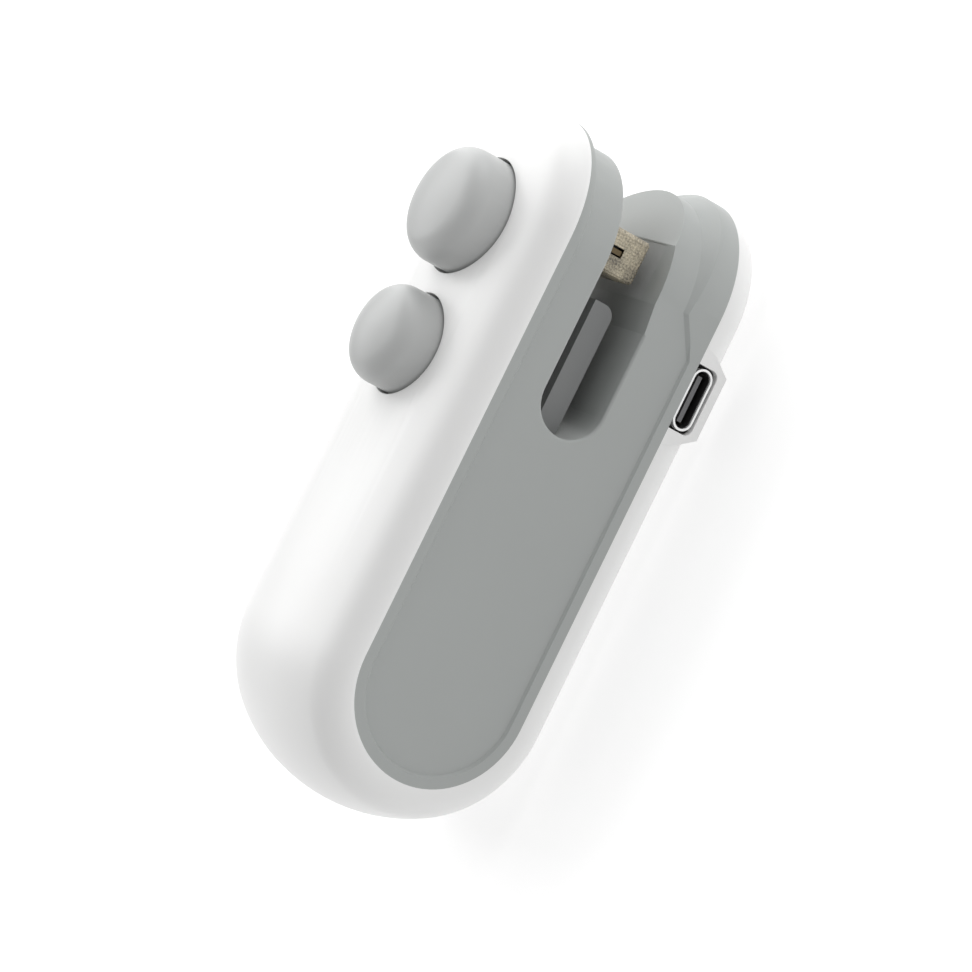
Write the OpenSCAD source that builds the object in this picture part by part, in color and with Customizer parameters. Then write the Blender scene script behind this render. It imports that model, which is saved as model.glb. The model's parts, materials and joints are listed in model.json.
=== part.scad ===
// Handheld bag heat sealer with a built-in bag cutter.
// It lies on its back: +X runs along the body to the jaw tips, +Z points out of the button side,
// and the charging socket opens towards -Y. Z = 0 is the flat of the back, X = 0 is half way along.
// Every sub-part is drawn about the body's middle plane and then lifted by mid_z.

/* [Body] */
// Length of the body, from the round bottom end to the jaw tips
body_l = 96; // [94:0.5:98]
// Width of the body across the jaws
body_w = 31; // [30.6:0.1:31.4]
// Thickness of the grey part of the body, between the two white faces
core_t = 26; // [26:0.1:26.4]
// Height of the white faces above the grey part, at their middle
face_rise = 6.8; // [6.6:0.1:7]
// Radius of the long edges of the white faces
edge_r = 5.2; // [5:0.1:5.4]
// Depth of the flat that the body rests on, cut from the crown of the back face
rest_cut = 0.5; // [0.4:0.1:0.6]
// Wall thickness of the white shell
shell_wall = 1.8; // [1.7:0.1:1.9]

/* [Side covers] */
// Depth of the sunk field in each side cover
field_depth = 0.4; // [0.3:0.1:0.5]
// Width of the sloping border round the sunk field
field_slope = 0.3; // [0.2:0.1:0.4]
// Flat rim left outside the sloping border
rim_w = 1.5; // [1.3:0.1:1.6]
// Distance that the field's rounding at the jaw tips is set back along the body
field_setback = 1.35; // [1.3:0.05:1.4]
// Depth below the middle plane where the field starts to slope out at the jaw tips
tip_field_low = 7.5; // [7.2:0.1:8]
// Thickness of a side cover
cover_t = 2.8; // [2.7:0.1:2.8]

/* [Mouth] */
// Distance from the middle of the body to the bottom of the mouth
mouth_x = 8.7; // [8.5:0.1:9]
// Height of the mouth's front wall above the middle plane
mouth_front = 6.2; // [6.1:0.1:6.3]
// Depth of the mouth's back wall below the middle plane
mouth_back = 3.6; // [3.5:0.1:3.7]
// Depth of the back wall at the pad, where the wall rises
pad_wall = 3.05; // [3:0.05:3.1]
// Thickness of the mouth's walls
mouth_wall = 1.8; // [1.7:0.1:1.8]
// Radius along the mouth's edges
mouth_edge_r = 0.4; // [0.4:0.1:0.6]
// Drop of the back wall at the jaw tip, where the mouth leads in
lead_drop = 3.2; // [3:0.1:3.3]

/* [Buttons] */
// Distance from the middle of the body to the seal button
seal_x = 30.4; // [30.2:0.1:30.5]
// Radius of the seal button
seal_r = 8.3; // [8.2:0.05:8.3]
// Distance from the middle of the body to the cutter button
cutter_x = 11.3; // [11.2:0.1:11.4]
// Radius of the cutter button
cutter_r = 7.05; // [7:0.05:7.1]
// Height of both buttons' tops above the middle plane
button_top = 26.7; // [26.4:0.1:27]
// Gap round each button in the shell
button_gap = 0.38; // [0.34:0.02:0.42]

/* [Heater] */
// Distance from the middle of the body to the middle of the heater
heater_x = 34.4; // [34.3:0.1:34.5]
// Length of the heater along the body
heater_l = 6.3; // [6.2:0.1:6.4]
// Width of the heater across the jaw
heater_w = 21; // [20.8:0.1:21]
// Depth of the heater's face below the middle plane
heater_face = 1.3; // [1.2:0.1:1.3]
// Gap left between heater and pad when the seal button is fully pressed
heater_gap = 0.05; // [0.05:0.01:0.08]

/* [Cutter] */
// Distance from the middle of the body to the blade
blade_x = 13.9; // [13.8:0.1:14]
// Travel of the cutter button
cutter_travel = 4; // [3.9:0.1:4]
// Length of the guard bar, measured to its free end
guard_end = 27.5; // [27.3:0.1:27.6]
// Half the width of the guard bar across the jaw
guard_half_w = 10.5; // [10.3:0.1:10.5]
// Depth of the guard bar's lower face below the middle plane
guard_low = 0.7; // [0.6:0.1:0.8]
// Height of the guard bar's upper face, which leaves a gap under the mouth's front wall
guard_high = 2.8; // [2.7:0.1:2.9]

/* [Charging socket] */
// Distance from the middle of the body to the socket
socket_x = 21.45; // [21.4:0.05:21.5]
// Width of the socket's metal shell
socket_w = 8.94; // [8.94]
// Height of the socket's metal shell
socket_h = 3.16; // [3.16]

/* [Battery] */
// Diameter of the cell
cell_d = 18; // [18:0.1:18.2]
// Length of the cell
cell_l = 34; // [33.5:0.5:34]

/* [Hidden] */
$fn = 64;

// Small distance that lets cutters run past a face
eps = 0.5;

// Body
half_l = body_l / 2;
half_w = body_w / 2;
core_r = core_t / 2;
bottom_x = core_r + face_rise - half_l;
tip_x = half_l - half_w;
mid_z = core_r + face_rise - rest_cut;

// Side covers
field_y = half_w - field_depth;
cover_y = field_y - cover_t;
field_half = core_r - rim_w - field_slope;
field_out = half_w - field_y + eps;
field_tip_x = tip_x - field_setback;
field_fade_x = field_tip_x - 5.5;
tip_slope = 1.7;
lip_t = 0.9;
lip_h = 1.4;

// Mouth
mouth_r = (mouth_front + mouth_back) / 2;
mouth_z = (mouth_front - mouth_back) / 2;
mouth_arc_x = mouth_x + mouth_r;
mouth_top = mouth_front + mouth_wall;

// Silicone pad in the back jaw, which stands on a thick part of the wall, and the lead-in beyond it
pad_t = 1.5;
pad_l = 8;
pad_w = 22;
pad_top = -(pad_wall + 0.05);
pad_seat_t = 1.2;
rise_x = heater_x - 8.4;
lead_in_x = heater_x + pad_l / 2 + 0.2;

// Buttons: a flange under the shell stops each one
flange_t = 1.2;
flange_z = 15.4;
flange_over = 1.25;
cap_wall = 1.6;
cap_corner = 3.5;
cap_rise = 4.3;
cap_ceiling = button_top - 2.2;
post_r = 2.2;

// Seal travel closes the heater on the pad
seal_travel = -heater_face - pad_top - heater_gap;

// Heater block
cloth_t = 0.3;
fit_gap = 0.05;
column_l = heater_l - 2 * (cloth_t + fit_gap);
column_w = heater_w - 2 * (cloth_t + 0.2);
strip_t = 0.15;
cushion_t = 0.7;
cushion_top = cushion_t + strip_t + fit_gap + cloth_t - heater_face;
head_z = 12.6;
head_t = 2;
head_x0 = 28.2;

// Chassis plate in the front jaw
chassis_z = mouth_top + 0.2;
chassis_t = 1.5;
chassis_top = chassis_z + chassis_t;
chassis_w = 24.4;
chassis_x0 = -1.6;
chassis_screw_x = [0.6, 42.2];
spring_y = 3;
spring_x = 26.6;
spring_r = 1.4;
spring_wire = 0.4;
cutter_spring_x = cutter_x - 2.4;
cutter_spring_y = 3.2;
cutter_spring_r = 1.2;
guard_flange_z = mouth_top + 0.78;
guard_neck_w = 7.5;

// Blade tip at rest, and the groove that it enters at full travel
blade_tip = -0.6;
groove_low = blade_tip - cutter_travel - 0.8;

// Screws
screw_r = 0.85;
head_r = 1.6;
head_h = 1.1;

// Cover screws: [x, z] of each one
cover_screw_at = [[-1.8, 0], [27, -8.6]];
boss_r = 2;

// Board
board_top = -core_r + 0.94;
board_t = 1;
board_x0 = -12;
board_x1 = 41;
board_w = 23.6;
board_screw_x = [-8.5, 37.5];

// Socket, hung under the board
socket_z = -core_r - 0.06 - socket_h / 2;
socket_y0 = -(half_w - 0.15);
socket_depth = 7.35;
notch_l = 9.5;
notch_h = 3.6;

// Battery
cell_x0 = -40.5;
cell_r = cell_d / 2;
wrap_t = 0.15;

// Leads
lead_r = 0.65;
lead_x = 4;
lead_y = 10.6;
pigtail_r = 0.5;

// Colours
white = [0.92, 0.92, 0.91];
grey = [0.62, 0.63, 0.63];
dark_grey = [0.34, 0.35, 0.35];
black = [0.08, 0.08, 0.09];
steel = [0.75, 0.76, 0.78];
cloth_tan = [0.72, 0.68, 0.58];
board_green = [0.10, 0.35, 0.20];
wrap_blue = [0.16, 0.30, 0.52];
copper = [0.78, 0.55, 0.30];

// ---------------------------------------------------------------- shared shapes

// Radius of the crown arc that meets both corner arcs of a crowned outline
function crown_r(half, corner, rise) =
    (pow(half - corner, 2) + rise * rise - corner * corner) / (2 * (rise - corner));

// Crowned outline: two corner arcs joined by a flatter crown arc, with straight sides of length down.
// inset draws it that much further in.
module crowned_2d(half, corner, rise, inset = 0, down = 0) {
    big_r = crown_r(half, corner, rise);
    corner_x = half - corner;
    meet = corner_x + (corner - inset) * cos(atan2(big_r - rise, corner_x));
    intersection() {
        translate([-half, 0]) square([2 * half, rise]);
        union() {
            intersection() {
                translate([0, rise - big_r]) circle(r = big_r - inset);
                translate([-meet, 0]) square([2 * meet, rise]);
            }
            for (side = [-1, 1]) translate([side * corner_x, 0]) circle(r = corner - inset);
        }
    }
    if (down > 0) translate([inset - half, -down]) square([2 * (half - inset), down + 0.001]);
}

// Right half of an outline, for turning about its axis
module right_half_2d(reach) {
    intersection() {
        children();
        translate([0, -reach]) square([reach, 2 * reach]);
    }
}

// Across-the-body section, seen along X
module body_section_2d(inset) {
    for (turn = [0, 180]) rotate(turn)
        translate([0, core_r]) crowned_2d(half_w, edge_r, face_rise, inset, core_r);
}

// Solid extruded along +X from a Y-Z outline
module along_x(x0, x1) {
    translate([x0, 0, 0]) rotate([90, 0, 90]) linear_extrude(x1 - x0) children();
}

// Solid extruded along Y, both ways from the middle, from an X-Z outline
module along_y(half) {
    translate([0, half, 0]) rotate([90, 0, 0]) linear_extrude(2 * half) children();
}

// Whole outer form of the body: crowned faces, round bottom and round jaw tips
module body_form(inset = 0) {
    along_x(bottom_x, tip_x) body_section_2d(inset);
    translate([bottom_x, 0, 0]) rotate([90, 0, 0]) rotate_extrude()
        right_half_2d(half_l) translate([core_r, 0]) rotate(-90)
            crowned_2d(half_w, edge_r, face_rise, inset, core_r);
    translate([tip_x, 0, 0]) rotate_extrude() right_half_2d(half_l) body_section_2d(inset);
}

// Core block: flat sides, a round bottom and round tips
module core_block(half_y, half_z) {
    translate([bottom_x, -half_y, -half_z]) cube([tip_x - bottom_x, 2 * half_y, 2 * half_z]);
    translate([bottom_x, half_y, 0]) rotate([90, 0, 0]) cylinder(r = half_z, h = 2 * half_y);
    translate([tip_x, 0, -half_z]) cylinder(r = half_y, h = 2 * half_z);
}

// Ring turned half a turn round the sunk ends of the jaws from a radius-Z outline
module round_tips() {
    translate([field_tip_x, 0, 0]) rotate(-90) rotate_extrude(angle = 180) children();
}

// Box given by its lowest and highest corners
module span_box(low, high) {
    translate(low) cube(high - low);
}

// Screw along +Z: the shank starts at z = 0 and the pan head sits below it, with a cross recess
module screw(shank_l, tall = head_h) {
    difference() {
        union() {
            cylinder(r = screw_r, h = shank_l);
            translate([0, 0, -tall]) cylinder(r = head_r, h = tall);
        }
        for (turn = [0, 90]) rotate(turn)
            translate([-head_r * 0.6, -0.2, -tall - 0.1]) cube([head_r * 1.2, 0.4, 0.6]);
    }
}

// ---------------------------------------------------------------- housing

// Squared corner that carries the socket, where the shell's long edge would be round
module socket_corner() {
    translate([0, -half_w + 3, 0]) rotate([90, 0, 0]) linear_extrude(3)
        polygon([
            [socket_x - 7.2, -core_r], [socket_x - 6.6, -core_r - 2], [socket_x - 4.6, -core_r - 4.9],
            [socket_x + 4.6, -core_r - 4.9], [socket_x + 6.6, -core_r - 2], [socket_x + 7.2, -core_r]
        ]);
}

// Outline of the socket's notch, rounded at its two outer corners
module notch_2d(inset = 0) {
    notch_r = 1.1;
    reach = notch_l / 2 - notch_r;
    low = notch_r - core_r - notch_h;
    translate([socket_x - notch_l / 2 + inset, low]) square([notch_l - 2 * inset, notch_h - notch_r - inset]);
    translate([socket_x - reach, inset - core_r - notch_h]) square([2 * reach, notch_r + 0.1]);
    for (side = [-1, 1]) translate([socket_x + side * reach, low]) circle(r = notch_r - inset);
}

module socket_notch() {
    translate([0, -8, 0]) rotate([90, 0, 0]) linear_extrude(half_w) notch_2d();
}

module outer_shell() {
    color(white) difference() {
        union() {
            difference() {
                union() {
                    body_form();
                    socket_corner();
                }
                body_form(shell_wall);
            }
            // bosses for the chassis, under the button face
            for (x = chassis_screw_x) intersection() {
                translate([x, 0, chassis_top + 0.02]) cylinder(r = boss_r, h = core_r);
                body_form(shell_wall / 2);
            }
            // bosses for the board, on the back
            for (x = board_screw_x) intersection() {
                translate([x, 0, -half_l]) cylinder(r = boss_r, h = half_l + board_top - board_t - 0.02);
                body_form(shell_wall / 2);
            }
        }
        difference() {
            core_block(half_l, core_r);
            for (x = chassis_screw_x) translate([x, 0, chassis_top]) cylinder(r = boss_r + 0.01, h = core_r);
        }
        span_box([-half_l, -half_w, -half_l], [half_l, half_w, -mid_z]);
        for (at = [[seal_x, seal_r], [cutter_x, cutter_r]])
            translate([at[0], 0, core_r - eps]) cylinder(r = at[1] + button_gap, h = half_w);
        for (x = chassis_screw_x) translate([x, 0, chassis_z]) cylinder(r = screw_r + 0.02, h = 7);
        for (x = board_screw_x) translate([x, 0, -core_r - 4]) cylinder(r = screw_r + 0.02, h = 5);
        socket_notch();
    }
}

// Mouth outline, seen along Y; grow draws it that much larger all round
module mouth_2d(grow = 0) {
    translate([mouth_arc_x, mouth_z]) circle(r = mouth_r + grow);
    translate([mouth_arc_x, -mouth_back - grow]) square([half_l, mouth_front + mouth_back + 2 * grow]);
}

// Everything that the mouth removes: its back wall rises at the pad and falls away at the tip
module mouth_cut() {
    along_y(half_w + eps) {
        translate([mouth_arc_x, mouth_z]) circle(r = mouth_r);
        polygon([
            [mouth_arc_x, mouth_front], [mouth_arc_x, -mouth_back], [rise_x, -mouth_back],
            [heater_x - pad_l / 2 - 0.2, -pad_wall], [lead_in_x, -pad_wall],
            [half_l + eps, -pad_wall - lead_drop], [half_l + eps, mouth_front]
        ]);
    }
}

// Growth of the sunk field's outline over a distance out from its floor
function field_spread(out) = field_slope * out / field_depth;

// Corners of the sunk field's outline; low is where its floor ends and slope how far it falls per mm outwards
function field_corners(out, low, slope) = [
    [field_y, -low], [field_y, field_half],
    [field_y + out, field_half + field_spread(out)], [field_y + out, -low - slope * out]
];

// Side field's lower border fades from a ledge into the long slope of the jaw tips
module field_fade() {
    near = field_corners(field_out, field_half, field_slope / field_depth);
    far = field_corners(field_out, tip_field_low, tip_slope);
    polyhedron(
        points = concat(
            [for (corner = near) [field_fade_x, corner[0], corner[1]]],
            [for (corner = far) [field_tip_x, corner[0], corner[1]]]
        ),
        faces = [
            [3, 2, 1, 0], [4, 5, 6, 7], [0, 1, 5, 4], [1, 2, 6, 5], [2, 3, 7, 6], [3, 0, 7], [0, 4, 7]
        ]
    );
}

module field_cut() {
    for (side = [0, 1]) mirror([0, side, 0]) {
        along_x(bottom_x, field_fade_x)
            polygon(field_corners(field_out, field_half, field_slope / field_depth));
        field_fade();
    }
    round_tips() polygon(field_corners(field_out + field_setback, tip_field_low, tip_slope));
    for (turn = [90, -90]) translate([bottom_x, 0, 0]) rotate([turn, 0, 0])
        translate([0, 0, field_y])
            cylinder(r1 = field_half, r2 = field_half + field_spread(field_out), h = field_out);
}

// Cutter that rounds a mouth edge which lies at height z, on the material side given by up
module edge_round_2d(z, up) {
    difference() {
        translate([field_y - mouth_edge_r, min(z, z + up * mouth_edge_r)])
            square([mouth_edge_r + 0.001, mouth_edge_r]);
        translate([field_y - mouth_edge_r, z + up * mouth_edge_r]) circle(r = mouth_edge_r);
    }
}

module mouth_edges_cut() {
    for (side = [0, 1]) {
        along_x(mouth_arc_x, field_tip_x) mirror([side, 0]) edge_round_2d(mouth_front, 1);
        along_x(mouth_arc_x, rise_x) mirror([side, 0]) edge_round_2d(-mouth_back, -1);
    }
    round_tips() edge_round_2d(mouth_front, 1);
    for (turn = [90, -90]) translate([mouth_arc_x, 0, mouth_z]) rotate([turn, 0, 0]) rotate_extrude()
        intersection() {
            difference() {
                translate([mouth_r - 0.001, field_y - mouth_edge_r]) square(mouth_edge_r + 0.001);
                translate([mouth_r + mouth_edge_r, field_y - mouth_edge_r]) circle(r = mouth_edge_r);
            }
            square(half_l);
        }
}

// Both covers as one hollow form, before it is parted at the seam
module cover_form() {
    difference() {
        union() {
            difference() {
                core_block(half_w, core_r);
                core_block(cover_y, core_r + eps);
            }
            intersection() {
                core_block(cover_y + 0.1, core_r);
                union() {
                    along_y(half_w) mouth_2d(mouth_wall);
                    // thicker wall under the lead-in and under the blade's groove
                    span_box([lead_in_x, -half_w, pad_top - pad_t - pad_seat_t - 2], [half_l, half_w, 0]);
                    span_box([blade_x - 1.5, -half_w, groove_low - 1.4], [blade_x + 1.5, half_w, 0]);
                }
            }
            // lips that locate the covers inside the shell
            difference() {
                core_block(cover_y + lip_t, core_r + lip_h);
                core_block(cover_y, core_r + lip_h + eps);
                core_block(half_w, core_r - eps);
            }
        }
        mouth_cut();
        field_cut();
        mouth_edges_cut();
        // opening for the heater in the mouth's front wall
        span_box(
            [heater_x - heater_l / 2 - 0.35, -heater_w / 2 - 0.35, 0],
            [heater_x + heater_l / 2 + 0.35, heater_w / 2 + 0.35, core_r]
        );
        // opening for the neck of the guard bar
        span_box([11.3, -guard_neck_w - 0.1, mouth_z], [26.1, guard_neck_w + 0.1, core_r]);
        // pocket of the pad
        span_box(
            [heater_x - pad_l / 2, -pad_w / 2, pad_top - pad_t],
            [heater_x + pad_l / 2, pad_w / 2, 0]
        );
        // groove that the blade's tip enters
        span_box([blade_x - 0.5, -5, groove_low], [blade_x + 0.5, 5, 0]);
        // room for the socket, its gasket and the squared corner
        span_box([socket_x - 7.4, -half_w, -core_r - lip_h - eps], [socket_x + 7.4, 0, -core_r]);
    }
}

module near_cover() {
    color(grey) difference() {
        union() {
            intersection() {
                cover_form();
                span_box([-half_l, -half_w, -half_l], [half_l, 0, half_l]);
            }
            for (at = cover_screw_at) translate([at[0], -0.02, at[1]]) rotate([90, 0, 0])
                cylinder(r = boss_r, h = cover_y + 0.1);
        }
        for (at = cover_screw_at) translate([at[0], 0.1, at[1]]) rotate([90, 0, 0])
            cylinder(r = screw_r + 0.02, h = cover_y - 2);
    }
}

module far_cover() {
    color(grey) difference() {
        union() {
            intersection() {
                cover_form();
                span_box([-half_l, 0, -half_l], [half_l, half_w, half_l]);
            }
            for (at = cover_screw_at) translate([at[0], 0.02, at[1]]) rotate([-90, 0, 0])
                cylinder(r = boss_r + 0.6, h = cover_y + 0.1);
        }
        for (at = cover_screw_at) {
            translate([at[0], -0.1, at[1]]) rotate([-90, 0, 0]) cylinder(r = screw_r + 0.15, h = half_w);
            translate([at[0], 7, at[1]]) rotate([-90, 0, 0]) cylinder(r = head_r + 0.15, h = half_w);
        }
    }
}

module cover_screws() {
    color(steel) for (at = cover_screw_at)
        translate([at[0], 7.02, at[1]]) rotate([90, 0, 0]) screw(14);
}

// ---------------------------------------------------------------- front jaw

module front_chassis() {
    color(dark_grey) difference() {
        union() {
            intersection() {
                span_box([chassis_x0, -chassis_w / 2, chassis_z], [half_l, chassis_w / 2, chassis_top]);
                core_block(chassis_w / 2, core_r);
            }
            // seats of the seal springs
            for (side = [-1, 1]) translate([spring_x, side * spring_y, chassis_top - 0.1])
                cylinder(r = spring_r - spring_wire - 0.08, h = 2.1);
            // seats of the cutter springs
            for (side = [-1, 1]) translate([cutter_spring_x, side * cutter_spring_y, chassis_top - 0.1])
                cylinder(r = cutter_spring_r - spring_wire - 0.08, h = 1.6);
        }
        // rebate over the flange of the guard bar
        span_box([10.3, -10.6, 0], [27.1, 10.6, guard_flange_z + 0.02]);
        // leads
        for (side = [-1, 1]) translate([lead_x, side * chassis_w / 2, core_r / 2])
            cube([2 * lead_r + 0.6, 2 * (chassis_w / 2 - lead_y + lead_r + 0.3), core_r], center = true);
        // heater column
        span_box(
            [heater_x - column_l / 2 - 0.25, -column_w / 2 - 0.25, 0],
            [heater_x + column_l / 2 + 0.25, column_w / 2 + 0.25, core_r]
        );
        // blade holder, with room for its arm at full travel
        span_box([blade_x - 1.8, -4.8, 0], [blade_x + 1.8, 4.8, core_r]);
        span_box([cutter_x - 2.5, -2.1, 0], [blade_x, 2.1, core_r]);
        // head of the carriage screw at full travel
        translate([seal_x, 0, 0]) cylinder(r = head_r + 0.3, h = core_r);
        for (x = chassis_screw_x) {
            translate([x, 0, 0]) cylinder(r = screw_r + 0.15, h = core_r);
            translate([x, 0, chassis_z - 0.1]) cylinder(r = head_r + 0.1, h = 1.1);
        }
    }
}

module chassis_screws() {
    color(steel) for (x = chassis_screw_x)
        translate([x, 0, chassis_z + 0.98]) screw(5.4, 0.95);
}

// Guard bar: an arm in the front half of the mouth, from its bottom up to the free end
module guard_bar() {
    low = -guard_low;
    end_r = 1.7;
    neck_x = [11.5, 25.9];
    color(dark_grey) difference() {
        union() {
            along_y(guard_half_w) intersection() {
                mouth_2d(-0.1);
                union() {
                    translate([0, low]) square([guard_end - end_r, guard_high - low]);
                    translate([0, low + end_r]) square([guard_end, guard_high - low - end_r]);
                    translate([guard_end - end_r, low + end_r]) circle(r = end_r);
                }
            }
            span_box([neck_x[0], -guard_neck_w, mouth_z], [neck_x[1], guard_neck_w, mouth_top + 0.1]);
            span_box([neck_x[0] - 1, -10.4, mouth_top + 0.02], [neck_x[1] + 1, 10.4, guard_flange_z]);
        }
        // head of the holder screw at full travel
        translate([cutter_x, 0, mouth_top - 0.5]) cylinder(r = head_r + 0.3, h = 5);
        span_box([blade_x - 1.8, -4.8, low - eps], [blade_x + 1.8, 4.8, core_r]);
    }
}

module switch_body() {
    color(black) difference() {
        span_box([20.4, -3, chassis_top + 0.02], [24.4, 3, flange_z - seal_travel - 0.65]);
        translate([22.4, 0, chassis_top + 0.3]) cylinder(r = 1.06, h = 5);
    }
}

module switch_plunger() {
    plunger_l = 2.9;
    color([0.75, 0.15, 0.12]) translate([22.4, 0, flange_z - 0.03 - plunger_l]) cylinder(r = 1, h = plunger_l);
}

// ---------------------------------------------------------------- sealing parts

// Button: a hollow cap with a domed top, a retaining flange and a post for its screw
module button_cap(radius, post_low) {
    shoulder = button_top - cap_rise;
    color(grey) difference() {
        union() {
            translate([0, 0, shoulder]) rotate_extrude() right_half_2d(half_w)
                crowned_2d(radius, cap_corner, cap_rise, 0, shoulder - flange_z);
            translate([0, 0, flange_z]) cylinder(r = radius + flange_over, h = flange_t);
            translate([0, 0, post_low]) cylinder(r = post_r, h = flange_z - post_low + 0.1);
        }
        difference() {
            translate([0, 0, flange_z - 0.01]) cylinder(r = radius - cap_wall, h = cap_ceiling - flange_z);
            translate([0, 0, post_low]) cylinder(r = post_r, h = half_l);
        }
        translate([0, 0, post_low - 0.1]) cylinder(r = screw_r + 0.02, h = 6);
    }
}

module seal_button() {
    translate([seal_x, 0, 0]) button_cap(seal_r, head_z + head_t + 0.02);
}

module heater_carriage() {
    column_x = heater_x - column_l / 2;
    color(black) difference() {
        union() {
            span_box([column_x, -column_w / 2, cushion_top], [column_x + column_l, column_w / 2, head_z + head_t]);
            span_box([head_x0, -column_w / 2, head_z], [column_x + 0.1, column_w / 2, head_z + head_t]);
        }
        translate([seal_x, 0, head_z - 2]) cylinder(r = screw_r + 0.15, h = 5);
        translate([seal_x, 0, head_z - 3]) cylinder(r = head_r + 0.15, h = 3);
        // pockets behind the openings in the cloth
        for (side = [-1, 1]) translate([heater_x, side * column_w / 2, 3.4]) cube([1.6, 1.6, 2.8], center = true);
    }
}

module carriage_screw() {
    color(steel) translate([seal_x, 0, head_z - 0.02]) screw(6.5);
}

module heater_cushion() {
    color([0.75, 0.30, 0.22]) span_box(
        [heater_x - column_l / 2, -column_w / 2, cushion_top - cushion_t],
        [heater_x + column_l / 2, column_w / 2, cushion_top]
    );
}

// Flat heating strip, folded up at both ends into narrow tabs
module heating_strip() {
    top = cushion_top - cushion_t;
    tab_y = column_w / 2;
    color([0.66, 0.62, 0.58]) {
        span_box([heater_x - 1.5, -tab_y - strip_t, top - strip_t], [heater_x + 1.5, tab_y + strip_t, top]);
        for (side = [-1, 1]) translate([heater_x - 0.35, side * (tab_y + strip_t / 2) - strip_t / 2, top - 0.01])
            cube([0.7, strip_t, 6.2]);
    }
}

// Woven cloth wrapped round the heater: a thin box, open at its top, with a window at each end
module heater_cloth() {
    cloth_top = chassis_z - 0.3;
    outer = [heater_l, heater_w];
    color(cloth_tan) difference() {
        span_box(
            [heater_x - outer[0] / 2, -outer[1] / 2, -heater_face],
            [heater_x + outer[0] / 2, outer[1] / 2, cloth_top]
        );
        span_box(
            [heater_x - outer[0] / 2 + cloth_t, -outer[1] / 2 + cloth_t, cloth_t - heater_face],
            [heater_x + outer[0] / 2 - cloth_t, outer[1] / 2 - cloth_t, cloth_top + eps]
        );
        span_box([heater_x - 0.65, -half_w, 2.1], [heater_x + 0.65, half_w, 4.6]);
    }
}

// Outer form of a coil spring that stands between the chassis and the inside of a button
module return_spring(radius) {
    low = chassis_top + 0.02;
    color(steel) translate([0, 0, low]) difference() {
        cylinder(r = radius, h = cap_ceiling - low - 0.02);
        translate([0, 0, -eps]) cylinder(r = radius - spring_wire, h = half_l);
    }
}

module seal_springs() {
    for (side = [-1, 1]) translate([spring_x, side * spring_y, 0]) return_spring(spring_r);
}

module seal_pad() {
    color([0.80, 0.80, 0.79]) span_box(
        [heater_x - pad_l / 2, -pad_w / 2, pad_top - pad_t],
        [heater_x + pad_l / 2, pad_w / 2, pad_top]
    );
}

// ---------------------------------------------------------------- cutter parts

module cutter_button() {
    translate([cutter_x, 0, 0]) button_cap(cutter_r, head_z + head_t + 0.02);
}

// Holder: an arm under the button and a plate that runs down inside the guard bar
module blade_holder() {
    color(black) difference() {
        union() {
            span_box([blade_x - 1.5, -4.5, 1.4], [blade_x + 1.5, 4.5, head_z + head_t]);
            span_box([cutter_x - 2.2, -1.8, head_z + 0.6], [blade_x, 1.8, head_z + head_t]);
        }
        span_box([blade_x - 0.2, -4.1, 0], [blade_x + 0.2, 4.1, 6.1]);
        translate([cutter_x, 0, head_z - eps]) cylinder(r = screw_r + 0.15, h = 5);
        translate([cutter_x, 0, head_z - 2.4]) cylinder(r = head_r + 0.15, h = 3);
    }
}

module holder_screw() {
    color(steel) translate([cutter_x, 0, head_z + 0.6 - 0.02]) screw(6, 0.9);
}

// Blade across the mouth, with two slanted cutting edges that meet in a point
module cutter_blade() {
    color(steel) translate([blade_x - 0.18, 0, 0]) rotate([90, 0, 90]) linear_extrude(0.36)
        polygon([[-4, 6], [-4, 1.3], [-0.3, blade_tip], [0.3, blade_tip], [4, 1.3], [4, 6]]);
}

module cutter_springs() {
    for (side = [-1, 1]) translate([cutter_spring_x, side * cutter_spring_y, 0])
        return_spring(cutter_spring_r);
}

// ---------------------------------------------------------------- electrics

module main_board() {
    color(board_green) difference() {
        intersection() {
            span_box([board_x0, -board_w / 2, board_top - board_t], [board_x1, board_w / 2, board_top]);
            core_block(board_w / 2, core_r + 1);
        }
        for (x = board_screw_x) translate([x, 0, -core_r - 2]) cylinder(r = screw_r + 0.15, h = 5);
    }
}

module board_screws() {
    color(steel) for (x = board_screw_x)
        translate([x, 0, board_top + 0.02]) mirror([0, 0, 1]) screw(4.4);
}

// Charger, heater switch and protection chips on top of the board
module board_chips() {
    chips = [[-1.5, 5, 5, 4, 1.3], [7, -6.2, 4, 5, 1.2], [13, 4.5, 6, 5, 1.5], [1.5, -7.5, 3, 3, 0.9]];
    color(black) for (chip = chips)
        translate([chip[0] - chip[2] / 2, chip[1] - chip[3] / 2, board_top + 0.02])
            cube([chip[2], chip[3], chip[4]]);
}

module power_inductor() {
    color(dark_grey) translate([20.5, 6, board_top + 0.02]) difference() {
        translate([-3, -3, 0]) cube([6, 6, 2.8]);
        translate([0, 0, 2.3]) cylinder(r = 1.6, h = 1);
    }
}

module status_led() {
    color([0.85, 0.85, 0.70]) translate([29.5, -9.6, board_top + 0.02]) cube([1.6, 0.8, 0.7]);
}

// Rounded bar outline of the socket, seen along Y
module socket_2d(inset) {
    round_r = socket_h / 2 - inset;
    reach = (socket_w - socket_h) / 2;
    translate([-reach, -round_r]) square([2 * reach, 2 * round_r]);
    for (side = [-1, 1]) translate([side * reach, 0]) circle(r = round_r);
}

module usb_shell() {
    color(steel) translate([socket_x, socket_y0, socket_z]) rotate([-90, 0, 0]) difference() {
        linear_extrude(socket_depth) socket_2d(0);
        translate([0, 0, -eps]) linear_extrude(socket_depth + eps - 0.5) socket_2d(0.3);
    }
}

module usb_tongue() {
    color(black) span_box(
        [socket_x - 3.35, socket_y0 + 0.9, socket_z - 0.35],
        [socket_x + 3.35, socket_y0 + socket_depth - 0.5, socket_z + 0.35]
    );
}

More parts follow.
